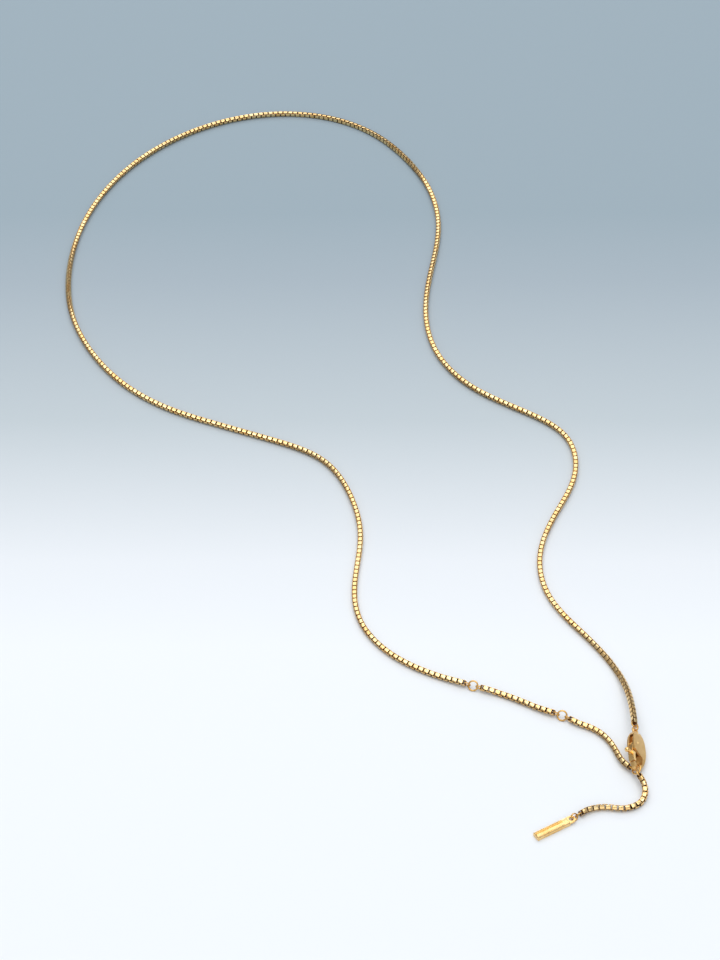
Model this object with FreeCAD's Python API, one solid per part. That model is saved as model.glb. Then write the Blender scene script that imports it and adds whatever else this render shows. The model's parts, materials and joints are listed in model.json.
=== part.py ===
"""A fine Venetian box chain necklace with a lobster clasp, three adjustment rings and a bar tag.

It lies closed on a flat surface, with the clasp hooked into the last adjustment ring.
Millimetres, +Z up, origin under the middle of the object on the surface it lies on.
The neck end, with the clasp, points to -Y.
"""
import FreeCAD
import Part
import math
import os

V = FreeCAD.Vector
UP = V(0, 0, 1)

# ---- driving dimensions, mm ----
LINK = 1.0  # outside of a box link, both ways
WALL = 0.13  # thickness of the strip that a link is bent from
STRIP = 0.68  # width of that strip
LINK_ROUND = 0.16  # outside radius of a link's bends
CLEAR = 0.015  # how far the chain's corners stay off the surface
LEAD = 1.3  # how far a chain keeps the direction of the ring at its end
PITCH = 0.5665  # from one link to the next; they may close up or draw apart by about 0.03

END_RING = (0.625, 0.13)  # mean radius and wire radius of the small ring at each chain end
ADJUST_RING = (0.88, 0.15)
TAG_RING = (0.62, 0.12)
CLASP_RING = (0.60, 0.13)
LINK_TO_RING = 0.7  # from an end link's middle to its end ring's middle
PLAY = 0.035  # gap between two rings that pull on each other

CLASP_THICK = 1.7
CLASP_SLOT = 0.84  # the slot in the clasp that its lever turns in
CLASP_TILT = 50.0  # degrees that the clasp leans up off its flat side
CLASP_PITCH = 8.0  # degrees that its hook end points down
EYE = (0.62, 0.2)  # mean radius of the clasp's eye and radius of its round rim
PIN_AT = V(3.7, 0.55, 0)
PIN_R = 0.28
PIN_GAP = 0.05
LEVER_THICK = 0.74
LEVER_WIDE = 1.16
HOOK_MIDDLE = 8.64  # along the clasp, the middle of the hook's metal at its far end

TAG_LENGTH, TAG_WIDTH, TAG_THICK = 8.3, 1.55, 0.8
TAG_EYE = (1.5, 0.32, 0.34)  # the thinned end's length, its thickness and its height off the surface
TAG_HOLE = 0.43
TAG_TURN = 31.5  # degrees from +X to the tag's long side
TAG_RING_LEAN = 36.0  # degrees that the tag's ring leans back from upright
TAG_RING_RISE = 13.0  # degrees that it slants up out of the tag's eye
TAG_END = V(37.73, -114.52, 0)  # middle of the tag's eye end, on the surface

# ---- places of the fittings, before the whole is centred ----
RING_1 = V(20.75, -82.8, 0.81)
RING_2 = V(36.7, -90.3, 0.81)
CLASP_START = V(49.5, -95.3, 2.73)
RING_LEAN = 48.0  # degrees that rings 1 and 2 lean back from upright, facing -Y

# ---- routes on the surface, chosen by hand ----
MAIN_POINTS = [
    (47.8, -80.0), (42.0, -69.5), (36.0, -59.5), (34.7, -47.5), (38.3, -36.0), (42.5, -25.0),
    (41.3, -13.0), (32.6, -5.0), (23.0, 2.2), (16.4, 12.2), (14.0, 24.0), (14.6, 36.0),
    (17.2, 57.5), (15.0, 71.5), (10.0, 82.4), (2.6, 91.8), (-7.5, 97.8), (-19.4, 99.2),
    (-31.0, 96.2), (-41.1, 90.0), (-52.6, 77.0), (-60.0, 60.0), (-62.5, 42.0), (-60.3, 24.2),
    (-55.7, 13.2), (-48.8, 3.4), (-39.6, -4.2), (-28.8, -9.5), (-17.8, -14.2), (-7.6, -20.2),
    (-1.9, -30.7), (0.1, -42.5), (-0.9, -54.4), (0.2, -66.0), (6.8, -75.4),
]
EXTEND_1_POINTS = [(25.6, -84.6), (31.0, -87.4)]
EXTEND_2_POINTS = [(41.9, -93.2), (45.6, -97.8)]
TAIL_POINTS = [(50.4, -109.2), (49.1, -111.4), (46.4, -112.4), (43.2, -112.1)]

# roll of each chain about its own line, as (share of the way, degrees)
MAIN_ROLL = [
    (0, -60), (0.03, -42), (0.087, -10), (0.123, 8), (0.155, 2), (0.195, -28), (0.235, -28),
    (0.27, -12), (0.32, -20), (0.38, -12), (0.415, -70), (0.45, -85), (0.52, -105), (0.62, -110),
    (0.662, -135), (0.70, -165), (0.80, -165), (0.84, -150), (0.88, -165), (0.915, -180),
    (0.95, -162), (1, -156),
]
EXTEND_1_ROLL = [(0, 24), (0.5, 27), (1, 24)]
EXTEND_2_ROLL = [(0, 24), (0.5, 27), (1, 32)]
TAIL_ROLL = [(0, 35), (0.3, 0), (0.55, -42), (0.8, -45), (1, -30)]

# the main chain's four bodies: name, number of stretches, and the link that the next body starts at
MAIN_PARTS = [("right_arm", 3, 174), ("right_crown", 4, 453), ("left_crown", 4, 665), ("left_arm", 3, None)]
TAIL_PARTS = 3


def unit(v):
    return v / v.Length


def radians(degrees):
    return math.radians(degrees)


def flat(angle):
    """The level unit vector at an angle in degrees from +X."""
    return V(math.cos(radians(angle)), math.sin(radians(angle)), 0)


def placed(shape, origin, x_axis, y_axis):
    """A copy of a shape, with its own X and Y turned to the two given directions."""
    x_axis = unit(x_axis)
    z_axis = unit(x_axis.cross(y_axis))
    y_axis = z_axis.cross(x_axis)
    turn = FreeCAD.Matrix(
        x_axis.x, y_axis.x, z_axis.x, origin.x,
        x_axis.y, y_axis.y, z_axis.y, origin.y,
        x_axis.z, y_axis.z, z_axis.z, origin.z,
    )
    copy = shape.copy()
    copy.Placement = FreeCAD.Placement(turn).multiply(shape.Placement)
    return copy


def ring(size, centre, normal):
    radius, wire = size
    return Part.makeTorus(radius, wire, centre, unit(normal))


def wire_point(size, centre, normal, direction):
    """The middle of a ring's wire on its side that faces a direction."""
    normal = unit(normal)
    return centre + unit(direction - normal * direction.dot(normal)) * size[0]


def spline_points(points, number):
    """Evenly spaced points along a smooth curve through the given ones."""
    curve = Part.BSplineCurve()
    curve.interpolate([V(p[0], p[1], 0) for p in points])
    return curve.discretize(Number=number)


def eased(share):
    share = min(max(share, 0.0), 1.0)
    return share * share * (3 - 2 * share)


def from_steps(steps, share):
    """A value that eases from one (share, value) step to the next."""
    for (low, first), (high, second) in zip(steps, steps[1:]):
        if share <= high:
            return first + (second - first) * eased((share - low) / (high - low))
    return steps[-1][1]


# ---- chain ----
def box_link():
    """One link: a short square tube. X runs along the chain and Y along the tube."""
    half = LINK / 2
    outer = Part.makeBox(LINK, STRIP, LINK, V(-half, -STRIP / 2, -half))
    bends = [e for e in outer.Edges if abs(e.Vertexes[0].Y - e.Vertexes[1].Y) > STRIP / 2]
    outer = outer.makeFillet(LINK_ROUND, bends)
    hole = LINK - 2 * WALL
    return outer.cut(Part.makeBox(hole, LINK, hole, V(-hole / 2, -half, -hole / 2)))


def rest_height(roll):
    """How high a chain's middle lies when it is rolled by some degrees."""
    c, s = abs(math.cos(radians(roll))), abs(math.sin(radians(roll)))
    return max(LINK * c + STRIP * s, LINK * s + STRIP * c) / 2


def chain_frames(start, leaving, points, end, arriving, rolls, falls):
    """The place and directions of each link: (middle, along, roll), with an odd number of links.

    The chain leaves its start and reaches its end in the two given directions. It runs level on
    the surface between them and eases up to its two ends over the lengths in falls.
    """
    near = [start, start + leaving * LEAD, end - arriving * LEAD, end]
    near = [(p.x, p.y) for p in near]
    route = near[:2] + points + near[2:]
    fine = 4000
    line = spline_points(route, fine)
    span = sum((b - a).Length for a, b in zip(line, line[1:]))
    rises = [start.z - rest_height(rolls[0][1]) - CLEAR, end.z - rest_height(rolls[-1][1]) - CLEAR]
    path = []
    for k, p in enumerate(line):
        share = k / (fine - 1)
        z = rest_height(from_steps(rolls, share)) + CLEAR
        z += rises[0] * eased(1 - share * span / falls[0])
        z += rises[1] * eased(1 - (1 - share) * span / falls[1])
        path.append(V(p.x, p.y, z))
    reach = [0.0]
    for a, b in zip(path, path[1:]):
        reach.append(reach[-1] + (b - a).Length)
    count = 2 * round(reach[-1] / PITCH / 2) + 1
    pitch = reach[-1] / (count - 1)
    middles, shares, k = [], [], 0
    for n in range(count):
        goal = n * pitch
        while k < fine - 2 and reach[k + 1] < goal:
            k += 1
        part = (goal - reach[k]) / (reach[k + 1] - reach[k])
        middles.append(path[k] + (path[k + 1] - path[k]) * part)
        shares.append((k + part) / (fine - 1))
    frames = []
    for n, middle in enumerate(middles):
        before, after = middles[max(n - 1, 0)], middles[min(n + 1, count - 1)]
        frames.append((middle, unit(after - before), from_steps(rolls, shares[n])))
    frames[0] = (start, leaving, rolls[0][1])
    frames[-1] = (end, arriving, rolls[-1][1])
    bends = [math.degrees(a[1].getAngle(b[1])) for a, b in zip(frames, frames[1:])]
    print("chain of %d links, %.1f mm, pitch %.4f" % (count, reach[-1], pitch), end=", ")
    print("largest bend %.1f degrees at link %d" % (max(bends), bends.index(max(bends))))
    return frames


def side_of(along, roll):
    """The chain's side and top directions for a line direction and a roll."""
    side = unit(UP.cross(along))
    top = along.cross(side)
    c, s = math.cos(radians(roll)), math.sin(radians(roll))
    return side * c + top * s, top * c - side * s


def stretch(name, number, frames, first, last):
    """Two nodes for the links from first up to last: the even links, and the odd ones between them.

    The odd links, which are turned a quarter, are the cross links.
    """
    solids = [[], []]
    for n in range(first, last):
        middle, along, roll = frames[n]
        side, top = side_of(along, roll)
        solids[n % 2].append(placed(LINK_SHAPE, middle, along, side if n % 2 else top))
    return {
        name + "_links" + number: Part.makeCompound(solids[0]),
        name + "_cross_links" + number: Part.makeCompound(solids[1]),
    }


def end_ring(frames, at_start):
    """The small ring through a chain's end link: (its middle, its normal, the outward direction)."""
    middle, along, roll = frames[0] if at_start else frames[-1]
    out = along * -1 if at_start else along
    side, _ = side_of(along, roll)
    return middle + out * LINK_TO_RING, side, out


def hold_point(size, wire):
    """How far past a ring's middle the wire of the next ring lies when it pulls on it."""
    return size[0] - size[1] - wire - PLAY


END_REACH = LINK_TO_RING + hold_point(END_RING, ADJUST_RING[1])  # an end link to the next ring's wire

LINK_SHAPE = box_link()


# ---- lobster clasp, along X from its eye to its hook, lever side to +Y ----
def prism(edges, thick):
    face = Part.Face(Part.Wire(Part.__sortEdges__(edges)))
    return face.extrude(V(0, 0, thick)).translated(V(0, 0, -thick / 2))


def curve_through(points):
    curve = Part.BSplineCurve()
    curve.interpolate([V(x, y, 0) for x, y in points])
    return curve.toShape()


def clasp_plan():
    """The clasp's outline: a belly, then a claw that turns back towards the lever side."""
    back = [(1.0, -0.72), (1.7, -1.15), (2.9, -1.58), (4.3, -1.82), (5.8, -1.82), (7.2, -1.55),
            (8.2, -1.1), (8.85, -0.45), (9.0, 0.25), (8.82, 0.85), (8.45, 1.2), (7.9, 1.36)]
    inside = [(7.9, 0.86), (8.27, 0.42), (8.27, -0.1), (7.95, -0.6), (7.4, -0.95), (6.8, -1.02),
              (6.3, -0.75)]
    lever_side = [(5.3, 1.4), (3.8, 1.55), (2.4, 1.35), (1.1, 0.75)]
    return [
        curve_through(back),
        Part.makeLine(V(*back[-1], 0), V(*inside[0], 0)),
        curve_through(inside),
        Part.makeLine(V(*inside[-1], 0), V(*lever_side[0], 0)),
        curve_through(lever_side),
        Part.makeLine(V(*lever_side[-1], 0), V(*back[0], 0)),
    ]


def clasp_side_view():
    """A block with the clasp's thickness along its length: thick at the belly, thin at the eye and hook."""
    belly = CLASP_THICK / 2
    half = [(0.9, 0.45), (1.7, 0.72), (3.2, belly), (5.2, belly), (7.0, 0.68), (8.3, 0.42), (9.2, 0.36)]
    upper = curve_through(half)
    lower = curve_through([(x, -z) for x, z in half])
    x_end, z_end = half[-1]
    edges = [
        upper,
        lower,
        Part.makeLine(V(half[0][0], half[0][1], 0), V(half[0][0], -half[0][1], 0)),
        Part.makeLine(V(x_end, z_end, 0), V(x_end, -z_end, 0)),
    ]
    block = prism(edges, 8)
    block.rotate(V(0, 0, 0), V(1, 0, 0), 90)
    return block


def clasp_body():
    claw = prism(clasp_plan(), CLASP_THICK).common(clasp_side_view())
    eye_at = V(sum(EYE), 0, 0)
    claw = claw.cut(Part.makeCylinder(EYE[0], 3, eye_at - UP * 1.5))
    body = claw.fuse(Part.makeTorus(EYE[0], EYE[1], eye_at)).removeSplitter()
    slot = Part.makePolygon([V(1.75, 2.2, 0), V(1.9, 0.5, 0), V(2.9, -0.3, 0), V(6.2, -0.3, 0),
                             V(6.2, 2.2, 0), V(1.75, 2.2, 0)])
    slot = Part.Face(slot).extrude(V(0, 0, CLASP_SLOT)).translated(V(0, 0, -CLASP_SLOT / 2))
    body = body.cut(slot)
    body = body.cut(Part.makeCylinder(PIN_R, 3, PIN_AT - UP * 1.5))
    return solid_of(body)


def solid_of(shape):
    """The largest solid of a shape."""
    return max(shape.Solids, key=lambda s: s.Volume)


def clasp_lever():
    """A thin lever from its hub to its wide tip, with a round knob to press, and room for the spring."""
    hub_r = 0.56
    outer = [(4.1, 1.4), (4.9, 1.56), (5.8, 1.66), (6.9, 1.6), (7.7, 1.4)]
    inner = [(7.77, 0.88), (6.9, 1.02), (5.9, 0.9), (5.0, 0.5), (4.25, 0.12)]
    edges = [
        curve_through(outer),
        Part.makeLine(V(*outer[-1], 0), V(*inner[0], 0)),
        curve_through(inner),
        Part.makeLine(V(*inner[-1], 0), V(*outer[0], 0)),
    ]
    thin = prism(edges, LEVER_THICK)
    wide = prism(edges, LEVER_WIDE).common(Part.makeBox(3, 3, 3, V(5.8, 0, -1.5)))
    hub = Part.makeCylinder(hub_r, LEVER_THICK / 2 - 0.02, PIN_AT + UP * 0.02)
    tail = Part.makeBox(0.75, 1.0, LEVER_THICK / 2 - 0.02, V(3.7, 0.3, 0.02))
    neck = Part.makeCylinder(0.34, 1.2, V(6.0, 1.5, 0), V(0, 1, 0))
    knob = Part.makeSphere(0.46, V(6.0, 2.7, 0))
    lever = thin.fuse([wide, hub, tail, neck, knob]).removeSplitter()
    room = Part.makeCylinder(0.54, LEVER_THICK, PIN_AT - UP * LEVER_THICK)
    lever = lever.cut(room)
    return solid_of(lever.cut(Part.makeCylinder(PIN_R + PIN_GAP, 3, PIN_AT - UP * 1.5)))


def clasp_pin():
    return Part.makeCylinder(PIN_R, CLASP_THICK - 0.04, PIN_AT - UP * (CLASP_THICK / 2 - 0.02))


def clasp_spring():
    """A strip spring bent over the pin, beside the lever's hub, with a foot in the slot and a short arm."""
    radius, strip, height = 0.44, 0.07, 0.3
    low = V(0, 0, -LEVER_THICK / 2 - 0.02)
    coil = Part.makeCylinder(radius + strip / 2, height, low)
    coil = coil.cut(Part.makeCylinder(radius - strip / 2, height, low))
    coil = coil.cut(Part.makeBox(2, 1, height, low + V(-1, -1, 0)))
    foot = Part.makeBox(strip, 0.8, height, low + V(-radius - strip / 2, -0.78, 0))
    arm = Part.makeBox(strip, 0.22, height, low + V(radius - strip / 2, -0.2, 0))
    return solid_of(coil.fuse([foot, arm])).translated(PIN_AT)


# ---- bar tag, along X from its plain end to its eye end, standing on Z = 0 ----
def bar_tag():
    """A flat bar with chamfered edges and a groove along its top, thinned and rounded at its eye end."""
    eye_length, eye_thick, eye_low = TAG_EYE
    bar = Part.makeBox(TAG_LENGTH - eye_length, TAG_WIDTH, TAG_THICK, V(0, -TAG_WIDTH / 2, 0))
    bar = bar.makeChamfer(0.12, [e for e in bar.Edges if min(v.Z for v in e.Vertexes) > TAG_THICK / 2])
    groove = Part.makeCylinder(0.16, TAG_LENGTH, V(-1, 0.22, TAG_THICK + 0.06), V(1, 0, 0))
    bar = bar.cut(groove)
    tab = Part.makeBox(eye_length + 0.1 - TAG_WIDTH / 2, TAG_WIDTH, eye_thick,
                       V(TAG_LENGTH - eye_length - 0.1, -TAG_WIDTH / 2, eye_low))
    nose = Part.makeCylinder(TAG_WIDTH / 2, eye_thick, V(TAG_LENGTH - TAG_WIDTH / 2, 0, eye_low))
    tag = bar.fuse([tab, nose]).removeSplitter()
    hole = Part.makeCylinder(TAG_HOLE, 2, V(TAG_LENGTH - TAG_WIDTH / 2, 0, -0.5))
    return solid_of(tag.cut(hole))


# ---- where the clasp and its rings stand ----
turn_down = radians(CLASP_PITCH)
CLASP_X = unit(V(-0.03, -1, -math.tan(turn_down)))
lean = V(-math.cos(radians(CLASP_TILT)), 0, math.sin(radians(CLASP_TILT)))
CLASP_Y = unit(lean - CLASP_X * lean.dot(CLASP_X))
CLASP_Z = CLASP_X.cross(CLASP_Y)


def in_clasp(x, y=0.0, z=0.0):
    return CLASP_START + CLASP_X * x + CLASP_Y * y + CLASP_Z * z


CLASP_RING_AT = in_clasp(2 * EYE[1] + PLAY + CLASP_RING[1] - CLASP_RING[0])
HOOK = in_clasp(HOOK_MIDDLE)
RING_3 = HOOK + CLASP_X * 0.2 + CLASP_Z * 0.03
RING_3_LINK = RING_3 + unit(CLASP_Z - CLASP_X * 0.45) * ADJUST_RING[0]
TAIL_HOLD = RING_3 + unit(CLASP_X - CLASP_Z * 0.36) * ADJUST_RING[0]

# the directions in which the chains leave the fittings
FROM_CLASP = unit(V(-0.02, 1, 0.02))
TO_RING_1 = flat(-22)
FROM_RING_1 = flat(-19)
TO_RING_2 = flat(-25)
FROM_RING_2 = flat(-33)
TO_RING_3 = unit(V(0.64, -0.77, 0.04))
FROM_RING_3 = unit(V(0.36, -0.93, -0.03))

ring_front = unit(V(math.cos(radians(-112)), math.sin(radians(-112)), 0))
RING_NORMAL = ring_front * math.cos(radians(90 - RING_LEAN)) + UP * math.sin(radians(90 - RING_LEAN))

clasp_hold = wire_point(CLASP_RING, CLASP_RING_AT, CLASP_Y, FROM_CLASP)
MAIN_START = clasp_hold + FROM_CLASP * (LINK_TO_RING + hold_point(END_RING, CLASP_RING[1]))
MAIN_END = wire_point(ADJUST_RING, RING_1, RING_NORMAL, TO_RING_1 * -1) - TO_RING_1 * END_REACH
EXTEND_1_START = wire_point(ADJUST_RING, RING_1, RING_NORMAL, FROM_RING_1) + FROM_RING_1 * END_REACH
EXTEND_1_END = wire_point(ADJUST_RING, RING_2, RING_NORMAL, TO_RING_2 * -1) - TO_RING_2 * END_REACH
EXTEND_2_START = wire_point(ADJUST_RING, RING_2, RING_NORMAL, FROM_RING_2) + FROM_RING_2 * END_REACH
EXTEND_2_END = RING_3_LINK - TO_RING_3 * (END_REACH - 0.045)
TAIL_START = TAIL_HOLD + FROM_RING_3 * END_REACH

# the tag ring goes through the tag's eye and leans back, facing -Y
TAG_X = flat(TAG_TURN)
tag_front = V(TAG_X.y, -TAG_X.x, 0)
TAG_START = TAG_END - TAG_X * TAG_LENGTH
TAG_EYE_AT = TAG_END - TAG_X * (TAG_WIDTH / 2) + UP * (TAG_EYE[2] + TAG_EYE[1] / 2)
TAG_RING_NORMAL = tag_front * math.cos(radians(TAG_RING_LEAN)) + UP * math.sin(radians(TAG_RING_LEAN))
tag_ring_up = UP * math.cos(radians(TAG_RING_LEAN)) - tag_front * math.sin(radians(TAG_RING_LEAN))
tag_ring_out = TAG_X * math.cos(radians(TAG_RING_RISE)) + tag_ring_up * math.sin(radians(TAG_RING_RISE))
TAG_RING_AT = TAG_EYE_AT + TAG_X * 0.08 + tag_ring_out * TAG_RING[0] + UP * 0.012
TO_TAG = flat(TAG_TURN + 180 + 2)
tag_hold = TAG_RING_AT + unit(TAG_X + tag_ring_up * 0.16) * TAG_RING[0]
TAIL_END = tag_hold - TO_TAG * (LINK_TO_RING + hold_point(END_RING, TAG_RING[1]))

# ---- the chains ----
MAIN = chain_frames(MAIN_START, FROM_CLASP, MAIN_POINTS, MAIN_END, TO_RING_1, MAIN_ROLL, (17, 5))
EXTEND_1 = chain_frames(
    EXTEND_1_START, FROM_RING_1, EXTEND_1_POINTS, EXTEND_1_END, TO_RING_2, EXTEND_1_ROLL, (4, 4)
)
EXTEND_2 = chain_frames(
    EXTEND_2_START, FROM_RING_2, EXTEND_2_POINTS, EXTEND_2_END, TO_RING_3, EXTEND_2_ROLL, (4, 6)
)
TAIL = chain_frames(TAIL_START, FROM_RING_3, TAIL_POINTS, TAIL_END, TO_TAG, TAIL_ROLL, (6, 4))


def shares_of(first, last, parts):
    """Whole link numbers that cut a stretch into near-equal parts."""
    return [first + round((last - first) * k / parts) for k in range(parts + 1)]


def chain_nodes():
    nodes = {}
    first = 0
    for name, parts, last in MAIN_PARTS:
        last = last or len(MAIN)
        cuts = shares_of(first, last, parts)
        for k in range(parts):
            nodes.update(stretch(name, "_%d" % (k + 1), MAIN, cuts[k], cuts[k + 1]))
        first = last
    nodes.update(stretch("extender_1", "", EXTEND_1, 0, len(EXTEND_1)))
    nodes.update(stretch("extender_2", "", EXTEND_2, 0, len(EXTEND_2)))
    cuts = shares_of(0, len(TAIL), TAIL_PARTS)
    for k in range(TAIL_PARTS):
        nodes.update(stretch("tail", "_%d" % (k + 1), TAIL, cuts[k], cuts[k + 1]))
    return nodes


def ring_nodes():
    ends = {
        "clasp_end_ring": (MAIN, True),
        "main_end_ring": (MAIN, False),
        "extender_1_start_ring": (EXTEND_1, True),
        "extender_1_end_ring": (EXTEND_1, False),
        "extender_2_start_ring": (EXTEND_2, True),
        "extender_2_end_ring": (EXTEND_2, False),
        "tail_start_ring": (TAIL, True),
        "tail_end_ring": (TAIL, False),
    }
    nodes = {}
    for name, (frames, at_start) in ends.items():
        centre, normal, _ = end_ring(frames, at_start)
        nodes[name] = ring(END_RING, centre, normal)
    nodes["adjustment_ring_1"] = ring(ADJUST_RING, RING_1, RING_NORMAL)
    nodes["adjustment_ring_2"] = ring(ADJUST_RING, RING_2, RING_NORMAL)
    nodes["adjustment_ring_3"] = ring(ADJUST_RING, RING_3, CLASP_Y)
    nodes["clasp_ring"] = ring(CLASP_RING, CLASP_RING_AT, CLASP_Y)
    nodes["tag_ring"] = ring(TAG_RING, TAG_RING_AT, TAG_RING_NORMAL)
    return nodes


def fitting_nodes():
    shapes = {
        "clasp_body": clasp_body(),
        "clasp_lever": clasp_lever(),
        "clasp_pin": clasp_pin(),
        "clasp_spring": clasp_spring(),
    }
    nodes = {name: placed(shape, CLASP_START, CLASP_X, CLASP_Y) for name, shape in shapes.items()}
    nodes["bar_tag"] = placed(bar_tag(), TAG_START, TAG_X, UP.cross(TAG_X))
    return nodes


NODES = {**chain_nodes(), **ring_nodes(), **fitting_nodes()}

# the whole is moved so that the origin is under its middle, on the surface
box = Part.makeCompound(list(NODES.values())).BoundBox
CENTRE = V(box.Center.x, box.Center.y, 0)
print("box", box.XLength, box.YLength, box.ZMin, box.ZMax, "centre", CENTRE)

os.makedirs("parts", exist_ok=True)
for name, shape in NODES.items():
    shape.translate(CENTRE * -1)
    shape.exportStep("parts/%s.step" % name)
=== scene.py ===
"""Looks for the box chain necklace: fine links, cast clasp, tag, gold, floor, light and camera."""
import json
import math

import bmesh
import bpy
import numpy as np
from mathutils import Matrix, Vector

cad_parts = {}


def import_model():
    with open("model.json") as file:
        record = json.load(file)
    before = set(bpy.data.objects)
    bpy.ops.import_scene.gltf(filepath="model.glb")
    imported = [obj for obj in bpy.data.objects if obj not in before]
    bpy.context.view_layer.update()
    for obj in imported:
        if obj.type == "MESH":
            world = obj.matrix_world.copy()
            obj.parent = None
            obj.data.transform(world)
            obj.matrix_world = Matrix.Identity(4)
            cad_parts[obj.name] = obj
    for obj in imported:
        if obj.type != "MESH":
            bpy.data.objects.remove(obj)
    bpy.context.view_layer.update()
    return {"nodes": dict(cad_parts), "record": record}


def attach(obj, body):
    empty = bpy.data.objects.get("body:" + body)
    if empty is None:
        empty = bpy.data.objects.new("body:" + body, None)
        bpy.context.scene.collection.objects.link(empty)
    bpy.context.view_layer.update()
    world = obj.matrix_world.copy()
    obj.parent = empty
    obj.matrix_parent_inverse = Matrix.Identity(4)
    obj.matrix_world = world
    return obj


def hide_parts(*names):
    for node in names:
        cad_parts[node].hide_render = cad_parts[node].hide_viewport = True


MM = 0.001
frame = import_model()
NODES = frame["nodes"]
BODY_OF = {node: body for body, nodes in frame["record"]["behaviour"]["bodies"].items() for node in nodes}

# ---- camera: 42 degrees above the surface, with a long lens ----
CAMERA_AT = (0.00595, -0.445154, 0.388)
CAMERA_DOWN = 42.1  # degrees
LENS, SENSOR = 109.5, 36  # mm

# ---- the link, mm, as in the CAD model ----
LINK = 1.0  # outside, both ways
WALL = 0.13  # thickness of the strip
STRIP = 0.68  # width of the strip
ROUND, INNER_ROUND = 0.16, 0.06  # outside and inside radius of its bends
EDGE = 0.035  # radius of the strip's edges
BEND_STEPS = 4
LINK_TONE = 0.12  # how much darker the darkest link is
INSIDE_PAINTED_SHADE = (0.05, 0.025, 0.012)  # painted shade in the tube's inside, where little light gets in
EDGE_DARK = (0.80, 0.66, 0.46)  # the strip's cut edges are only a little duller

# ---- fine lines along the tag's top, mm: place across it, half width and depth ----
TAG_LINES = [(0.56, 0.055, 0.10), (0.32, 0.06, 0.11), (-0.52, 0.05, 0.08)]
TAG_LINE_MIDDLE, TAG_LINE_HALF = -0.9, 3.0  # the middle of the lines along the tag, and half their length

# ---- the surroundings ----
FLOOR_SIDE = 1.5
FLOOR_NEAR, FLOOR_FAR = -0.062, 0.072  # where the floor's painted shade starts and stops changing, along Y
# painted shade: the floor turns darker and bluer towards the back
FLOOR_SHADE_TONES = [
    (0.0, (0.80, 0.835, 0.865)), (0.17, (0.745, 0.78, 0.815)), (0.48, (0.49, 0.55, 0.585)),
    (0.82, (0.355, 0.42, 0.47)), (1.0, (0.305, 0.38, 0.43)),
]
ROOM_TONES = [(0.0, (0.20, 0.20, 0.21)), (0.45, (0.45, 0.45, 0.46)), (1.0, (0.62, 0.65, 0.70))]
ROOM_STRENGTH = 0.9
LAMPS = [  # name, place, width and height, watts, colour
    ("key", (-0.4, 0.3, 0.85), (0.4, 0.4), 0.8, (1.0, 0.98, 0.95)),
    ("back", (0.0, 0.95, 0.8), (1.5, 0.7), 4.6, (1.0, 1.0, 1.0)),
    ("top", (0.05, -0.1, 1.2), (1.1, 1.1), 7.6, (1.0, 1.0, 1.0)),
    ("front", (0.1, -1.0, 0.55), (1.6, 0.6), 2.6, (1.0, 0.99, 0.97)),
]


# ---- materials ----
def new_material(name):
    material = bpy.data.materials.new(name)
    material.use_nodes = True
    nodes, wires = material.node_tree.nodes, material.node_tree.links
    shader = nodes["Principled BSDF"]
    return material, nodes, wires, shader


def noise(nodes, wires, coords, scale, detail=2.0, stretch=None):
    """A noise texture in the object's own metres, with its size given in millimetres."""
    if stretch is not None:
        mapping = nodes.new("ShaderNodeMapping")
        mapping.inputs["Rotation"].default_value = stretch[0]
        mapping.inputs["Scale"].default_value = stretch[1]
        wires.new(coords, mapping.inputs["Vector"])
        coords = mapping.outputs["Vector"]
    texture = nodes.new("ShaderNodeTexNoise")
    texture.inputs["Scale"].default_value = 1 / (scale * MM)
    texture.inputs["Detail"].default_value = detail
    wires.new(coords, texture.inputs["Vector"])
    return texture.outputs["Fac"]


def ramp(nodes, wires, value, low, high, colours):
    node = nodes.new("ShaderNodeValToRGB")
    node.color_ramp.elements[0].position = low
    node.color_ramp.elements[1].position = high
    node.color_ramp.elements[0].color = (*colours[0], 1)
    node.color_ramp.elements[1].color = (*colours[1], 1)
    wires.new(value, node.inputs["Fac"])
    return node.outputs["Color"]


def bands(nodes, wires, value, tones):
    """A ramp through several tones, given as (position, colour)."""
    node = nodes.new("ShaderNodeValToRGB")
    stops = node.color_ramp.elements
    stops[0].position, stops[0].color = tones[0][0], (*tones[0][1], 1)
    stops[1].position, stops[1].color = tones[-1][0], (*tones[-1][1], 1)
    for position, tone in tones[1:-1]:
        stops.new(position).color = (*tone, 1)
    wires.new(value, node.inputs["Fac"])
    return node.outputs["Color"]


def levels(nodes, wires, value, out_low, out_high, in_low=0.3, in_high=0.7):
    node = nodes.new("ShaderNodeMapRange")
    node.inputs["From Min"].default_value = in_low
    node.inputs["From Max"].default_value = in_high
    node.inputs["To Min"].default_value = out_low
    node.inputs["To Max"].default_value = out_high
    wires.new(value, node.inputs["Value"])
    return node.outputs["Result"]


def bump(nodes, wires, value, strength, depth):
    node = nodes.new("ShaderNodeBump")
    node.inputs["Strength"].default_value = strength
    node.inputs["Distance"].default_value = depth * MM
    wires.new(value, node.inputs["Height"])
    return node.outputs["Normal"]


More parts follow.
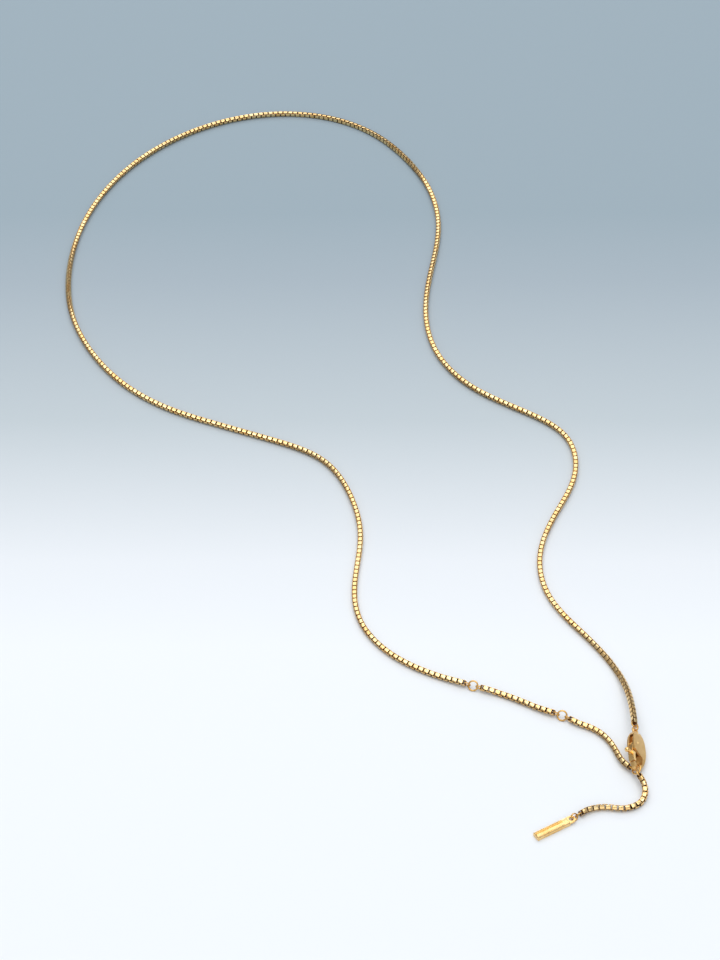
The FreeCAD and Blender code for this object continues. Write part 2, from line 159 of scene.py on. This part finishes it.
def gold(name, light, deep, roughness, brushed=None, tone=None):
    """Gold plate: slow colour drift, worn and polished patches, fine scratches or a brushed grain.

    roughness is (lowest, highest), and brushed is how the grain is turned. With tone, the colour is
    multiplied by the one that the mesh keeps, point by point, under that name."""
    material, nodes, wires, shader = new_material(name)
    coords = nodes.new("ShaderNodeTexCoord").outputs["Object"]
    shader.inputs["Metallic"].default_value = 1.0
    drift = noise(nodes, wires, coords, 1.6, 3)
    colour = ramp(nodes, wires, drift, 0.35, 0.68, (deep, light))
    if tone is not None:
        value = nodes.new("ShaderNodeAttribute")
        value.attribute_name = tone
        mix = nodes.new("ShaderNodeMix")
        mix.data_type = "RGBA"
        mix.blend_type = "MULTIPLY"
        mix.inputs["Factor"].default_value = 1.0
        wires.new(colour, mix.inputs["A"])
        wires.new(value.outputs["Color"], mix.inputs["B"])
        colour = mix.outputs["Result"]
    wires.new(colour, shader.inputs["Base Color"])
    patches = noise(nodes, wires, coords, 0.35, 4)
    wires.new(levels(nodes, wires, patches, *roughness), shader.inputs["Roughness"])
    if brushed is None:
        marks = noise(nodes, wires, coords, 0.09, 3, ((0.4, 0.2, 0.7), (1, 6, 3)))
        wires.new(bump(nodes, wires, marks, 0.25, 0.008), shader.inputs["Normal"])
    else:
        grain = noise(nodes, wires, coords, 0.06, 2, (brushed, (1, 22, 22)))
        wires.new(bump(nodes, wires, grain, 0.5, 0.012), shader.inputs["Normal"])
    return material


# the chain's colour is multiplied by its "tone" attribute: each link's random tone, its duller cut edges, and
# painted shade inside the tube and on the walls within the next link
CHAIN_GOLD = gold("chain_gold", (1.0, 0.76, 0.40), (0.94, 0.59, 0.23), (0.14, 0.28), tone="tone")
RING_GOLD = gold("ring_gold", (0.86, 0.54, 0.18), (0.62, 0.34, 0.09), (0.20, 0.32))
CLASP_GOLD = gold("clasp_gold", (0.86, 0.57, 0.24), (0.78, 0.49, 0.18), (0.30, 0.45), brushed=(0, 0, 1.54))
LEVER_GOLD = gold("lever_gold", (0.98, 0.68, 0.29), (0.88, 0.54, 0.19), (0.12, 0.24))
TAG_GOLD = gold("tag_gold", (0.98, 0.72, 0.35), (0.90, 0.58, 0.22), (0.16, 0.30), brushed=(0, 0, 0.55))


def steel():
    material, nodes, wires, shader = new_material("spring_steel")
    coords = nodes.new("ShaderNodeTexCoord").outputs["Object"]
    shader.inputs["Metallic"].default_value = 1.0
    tone = noise(nodes, wires, coords, 0.2, 3)
    colour = ramp(nodes, wires, tone, 0.3, 0.7, ((0.42, 0.41, 0.40), (0.6, 0.59, 0.57)))
    wires.new(colour, shader.inputs["Base Color"])
    wires.new(levels(nodes, wires, tone, 0.3, 0.45), shader.inputs["Roughness"])
    return material


SPRING_STEEL = steel()


# ---- mesh helpers ----
def piece(name, verts, faces, material, body):
    """A new piece from points in metres, riding on a CAD body."""
    mesh = bpy.data.meshes.new(name)
    mesh.from_pydata([tuple(v) for v in verts], [], [tuple(f) for f in faces])
    mesh.validate()
    mesh.materials.append(material)
    mesh.polygons.foreach_set("use_smooth", [True] * len(mesh.polygons))
    obj = bpy.data.objects.new(name, mesh)
    bpy.context.scene.collection.objects.link(obj)
    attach(obj, body)
    return obj


def rounded_square(half, radius, steps):
    """Points round a square with rounded corners, starting in the middle of its +X side."""
    points = [(half, 0.0)]
    for corner in range(4):
        turn = corner * math.pi / 2
        cx = cy = half - radius
        for k in range(steps + 1):
            a = k / steps * math.pi / 2
            x, y = cx + radius * math.cos(a), cy + radius * math.sin(a)
            c, s = math.cos(turn), math.sin(turn)
            points.append((x * c - y * s, x * s + y * c))
        turn += math.pi / 2
        points.append((half * math.cos(turn), half * math.sin(turn)))
    return np.array(points[:-1])


def link_mesh():
    """One link in metres: X and Y across its square, Z along its tube, with rounded edges."""
    outer = rounded_square(LINK / 2, ROUND, BEND_STEPS)
    inner = rounded_square(LINK / 2 - WALL, INNER_ROUND, BEND_STEPS)
    stations = list(zip(outer, inner))
    half = STRIP / 2
    bend = [0.0, math.pi / 4, math.pi / 2]
    verts, rows = [], []
    for o, i in stations:
        out = (o - i) / np.linalg.norm(o - i)
        row = []
        corners = [(o, 1, 1), (o, 1, -1), (i, -1, -1), (i, -1, 1)]
        for k, (point, face, side) in enumerate(corners):
            order = bend if k % 2 == 0 else bend[::-1]
            for a in order:
                across = point - out * face * EDGE * (1 - math.sin(a))
                along = side * (half - EDGE * (1 - math.cos(a)))
                row.append((across[0], across[1], along))
        rows.append(len(verts))
        verts += row
    n = len(verts) // len(rows)
    faces = []
    for r in range(len(rows)):
        a, b = rows[r], rows[(r + 1) % len(rows)]
        for k in range(n):
            j = (k + 1) % n
            faces.append((a + k, a + j, b + j, b + k))
    return np.array(verts) * MM, np.array(faces)


def solids_of(obj):
    """The separate solids of a CAD node, each as an array of its points."""
    mesh = obj.data
    co = np.empty(len(mesh.vertices) * 3)
    mesh.vertices.foreach_get("co", co)
    co = co.reshape(-1, 3)
    _, index = np.unique(np.round(co / 2e-7).astype(np.int64), axis=0, return_inverse=True)
    index = index.ravel()
    tri = np.empty(len(mesh.loops), dtype=np.int64)
    mesh.loops.foreach_get("vertex_index", tri)
    tri = index[tri].reshape(-1, 3)
    label = np.arange(index.max() + 1)
    while True:
        low = label[tri].min(1)
        new = label.copy()
        for k in range(3):
            np.minimum.at(new, tri[:, k], low)
        new = new[new]
        if (new == label).all():
            break
        label = new
    point = np.zeros((index.max() + 1, 3))
    point[index] = co
    return [point[label == k] for k in np.unique(label)]


def link_place(points):
    """A box link's middle and axes, from its CAD solid's points: two across its square, one along its tube."""
    middle = points.mean(0)
    spread = points - middle
    _, _, axes = np.linalg.svd(spread, full_matrices=False)
    tube = axes[2]
    u, v = axes[0], axes[1]
    flat = spread @ np.array([u, v]).T
    four = ((flat[:, 0] + 1j * flat[:, 1]) ** 4).sum()
    turn = (np.angle(four) - math.pi) / 4
    x = u * math.cos(turn) + v * math.sin(turn)
    y = np.cross(tube, x)
    return middle, np.array([x, y, tube])


def link_tones_and_shade(points):
    """How dark each point of a link is: painted shade inside, its cut edges, and the walls across the chain.

    Those walls, across X, lie inside the next link, and get painted shade up to the middle of the bend."""
    x, y, z = np.abs(points / MM).T
    inside = np.maximum(x, y) < LINK / 2 - WALL * 0.6
    cut = (z > STRIP / 2 - EDGE * 0.2) & ~inside
    # painted shade on the walls across X, which lie inside the next link, fading out at the middle of the bend
    painted_wall_shade = np.clip((x - y + 0.07) / 0.14, 0, 1)[:, None]
    tones = np.ones((len(points), 4))
    tones[cut] = (*EDGE_DARK, 1.0)
    tones[:, :3] *= 1 - painted_wall_shade * (1 - np.array(INSIDE_PAINTED_SHADE) * 2.5)
    # painted shade on the tube's inside
    tones[inside] = (*INSIDE_PAINTED_SHADE, 1.0)
    return tones


LINK_VERTS, LINK_FACES = link_mesh()
LINK_TONES_AND_SHADE = link_tones_and_shade(LINK_VERTS)


def fine_links(node, seed):
    """Replaces a CAD node of links with the same links in fine detail, each a little lighter or darker.

    Each link's X is turned to lie along the chain, towards the nearest link of its node."""
    rng = np.random.default_rng(seed)
    verts, faces, tones = [], [], []
    places = [link_place(points) for points in solids_of(NODES[node])]
    middles = np.array([middle for middle, _ in places])
    for count, (middle, axes) in enumerate(places):
        away = np.linalg.norm(middles - middle, axis=1)
        away[count] = np.inf
        to_next = middles[np.argmin(away)] - middle
        if abs(axes[0] @ to_next) < abs(axes[1] @ to_next):
            axes = np.array([axes[1], -axes[0], axes[2]])
        verts.append(middle + LINK_VERTS @ axes)
        faces.append(LINK_FACES + count * len(LINK_VERTS))
        tone = 1 - LINK_TONE * rng.random()
        # each link's random tone times its painted shade
        tones.append(np.tile((tone, tone, tone, 1.0), (len(LINK_VERTS), 1)) * LINK_TONES_AND_SHADE)
    verts, faces = np.concatenate(verts), np.concatenate(faces)
    obj = piece("fine_" + node, verts, faces, CHAIN_GOLD, BODY_OF[node])
    # the "tone" attribute holds random tone and painted shade
    shade = obj.data.color_attributes.new("tone", "FLOAT_COLOR", "POINT")
    shade.data.foreach_set("color", np.concatenate(tones).ravel())
    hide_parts(node)


def settle(obj):
    """Applies an object's modifiers to its mesh."""
    depsgraph = bpy.context.evaluated_depsgraph_get()
    mesh = bpy.data.meshes.new_from_object(obj.evaluated_get(depsgraph))
    obj.modifiers.clear()
    obj.data = mesh
    return mesh


def tag_lines(co):
    """Cuts fine lines along the tag's top, which leave a raised border along each long edge."""
    middle = (co.min(axis=0) + co.max(axis=0)) / 2
    _, _, axes = np.linalg.svd((co - co.mean(axis=0))[:, :2], full_matrices=False)
    long_way = axes[0] * np.sign(axes[0][0])
    across = np.array([-long_way[1], long_way[0]])
    along = (co[:, :2] - middle[:2]) @ long_way / MM
    side = (co[:, :2] - middle[:2]) @ across / MM
    top = np.clip((co[:, 2] / MM - 0.5) / 0.2, 0, 1)
    ends = np.clip((TAG_LINE_HALF - np.abs(along - TAG_LINE_MIDDLE)) / 0.3, 0, 1)
    moved = co.copy()
    for place, width, depth in TAG_LINES:
        moved[:, 2] -= depth * MM * np.exp(-((side - place) / width) ** 2) * top * ends
    return moved


def cast(node, voxel, smooth, material, shape=None):
    """A cast piece from a CAD node's solid: the same shape, with its edges softened.

    shape is a function that moves the piece's points, given and returned in metres."""
    obj = NODES[node].copy()
    obj.data = NODES[node].data.copy()
    obj.name = "cast_" + node
    for key in list(obj.keys()):
        del obj[key]
    obj.parent = None
    bpy.context.scene.collection.objects.link(obj)
    weld = bmesh.new()
    weld.from_mesh(obj.data)
    bmesh.ops.remove_doubles(weld, verts=weld.verts, dist=2e-7)
    weld.to_mesh(obj.data)
    weld.free()
    remesh = obj.modifiers.new("remesh", "REMESH")
    remesh.mode = "VOXEL"
    remesh.voxel_size = voxel * MM
    remesh.use_smooth_shade = True
    soften = obj.modifiers.new("soften", "SMOOTH")
    soften.iterations = smooth
    soften.factor = 0.5
    settle(obj)
    if shape is not None:
        co = np.empty(len(obj.data.vertices) * 3)
        obj.data.vertices.foreach_get("co", co)
        obj.data.vertices.foreach_set("co", shape(co.reshape(-1, 3)).ravel())
        obj.data.update()
    thin = obj.modifiers.new("thin", "DECIMATE")
    thin.ratio = 0.35
    mesh = settle(obj)
    mesh.materials.clear()
    mesh.materials.append(material)
    mesh.polygons.foreach_set("use_smooth", [True] * len(mesh.polygons))
    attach(obj, BODY_OF[node])
    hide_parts(node)
    return obj


# ---- the object ----
for number, name in enumerate(sorted(NODES)):
    if "links" in name:
        fine_links(name, number)

clasp = cast("clasp_body", 0.03, 5, CLASP_GOLD)
lever = cast("clasp_lever", 0.025, 4, LEVER_GOLD)
tag = cast("bar_tag", 0.025, 3, TAG_GOLD, tag_lines)

for name, node in NODES.items():
    if "ring" in name and name != "clasp_spring":
        material = RING_GOLD
    elif name == "clasp_spring":
        material = SPRING_STEEL
    else:
        material = LEVER_GOLD
    for place in node.material_slots:
        place.material = material
    node.data.polygons.foreach_set("use_smooth", [True] * len(node.data.polygons))


# ---- floor, light and camera ----
def floor():
    """A plain sheet with painted shade, nearly white in front and blue-grey behind."""
    material, nodes, wires, shader = new_material("floor_sheet")
    coords = nodes.new("ShaderNodeTexCoord").outputs["Object"]
    split = nodes.new("ShaderNodeSeparateXYZ")
    wires.new(coords, split.inputs["Vector"])
    # painted shade along Y, darker and bluer behind
    along = levels(nodes, wires, split.outputs["Y"], 0, 1, FLOOR_NEAR, FLOOR_FAR)
    wires.new(bands(nodes, wires, along, FLOOR_SHADE_TONES), shader.inputs["Base Color"])
    shader.inputs["Roughness"].default_value = 0.7
    shader.inputs["Specular IOR Level"].default_value = 0.1
    mesh = bpy.data.meshes.new("floor")
    corners = [(x * FLOOR_SIDE, y * FLOOR_SIDE, 0) for x, y in ((-1, -1), (1, -1), (1, 1), (-1, 1))]
    mesh.from_pydata(corners, [], [(0, 1, 2, 3)])
    mesh.materials.append(material)
    obj = bpy.data.objects.new("floor", mesh)
    bpy.context.scene.collection.objects.link(obj)


def softbox(name, at, size, power, colour):
    """A rectangular lamp that faces the middle of the floor."""
    lamp = bpy.data.lights.new(name, "AREA")
    lamp.shape = "RECTANGLE"
    lamp.size, lamp.size_y = size
    lamp.energy = power
    lamp.color = colour
    obj = bpy.data.objects.new(name, lamp)
    obj.location = at
    obj.rotation_euler = (-Vector(at)).to_track_quat("-Z", "Y").to_euler()
    bpy.context.scene.collection.objects.link(obj)


def world():
    """A pale room, brighter above than at the horizon, for the polished metal to reflect."""
    room = bpy.data.worlds.new("room")
    bpy.context.scene.world = room
    room.use_nodes = True
    nodes, wires = room.node_tree.nodes, room.node_tree.links
    nodes.clear()
    out = nodes.new("ShaderNodeOutputWorld")
    background = nodes.new("ShaderNodeBackground")
    coords = nodes.new("ShaderNodeTexCoord")
    split = nodes.new("ShaderNodeSeparateXYZ")
    wires.new(coords.outputs["Generated"], split.inputs["Vector"])
    wires.new(bands(nodes, wires, split.outputs["Z"], ROOM_TONES), background.inputs["Color"])
    background.inputs["Strength"].default_value = ROOM_STRENGTH
    wires.new(background.outputs["Background"], out.inputs["Surface"])


floor()
world()
for lamp in LAMPS:
    softbox(*lamp)

lens = bpy.data.cameras.new("camera")
lens.lens = LENS
lens.sensor_width = SENSOR
lens.clip_start, lens.clip_end = 0.01, 10
camera = bpy.data.objects.new("camera", lens)
camera.location = CAMERA_AT
camera.rotation_euler = (math.radians(90 - CAMERA_DOWN), 0, 0)
bpy.context.scene.collection.objects.link(camera)
bpy.context.scene.camera = camera

bpy.context.scene.view_settings.view_transform = "Standard"
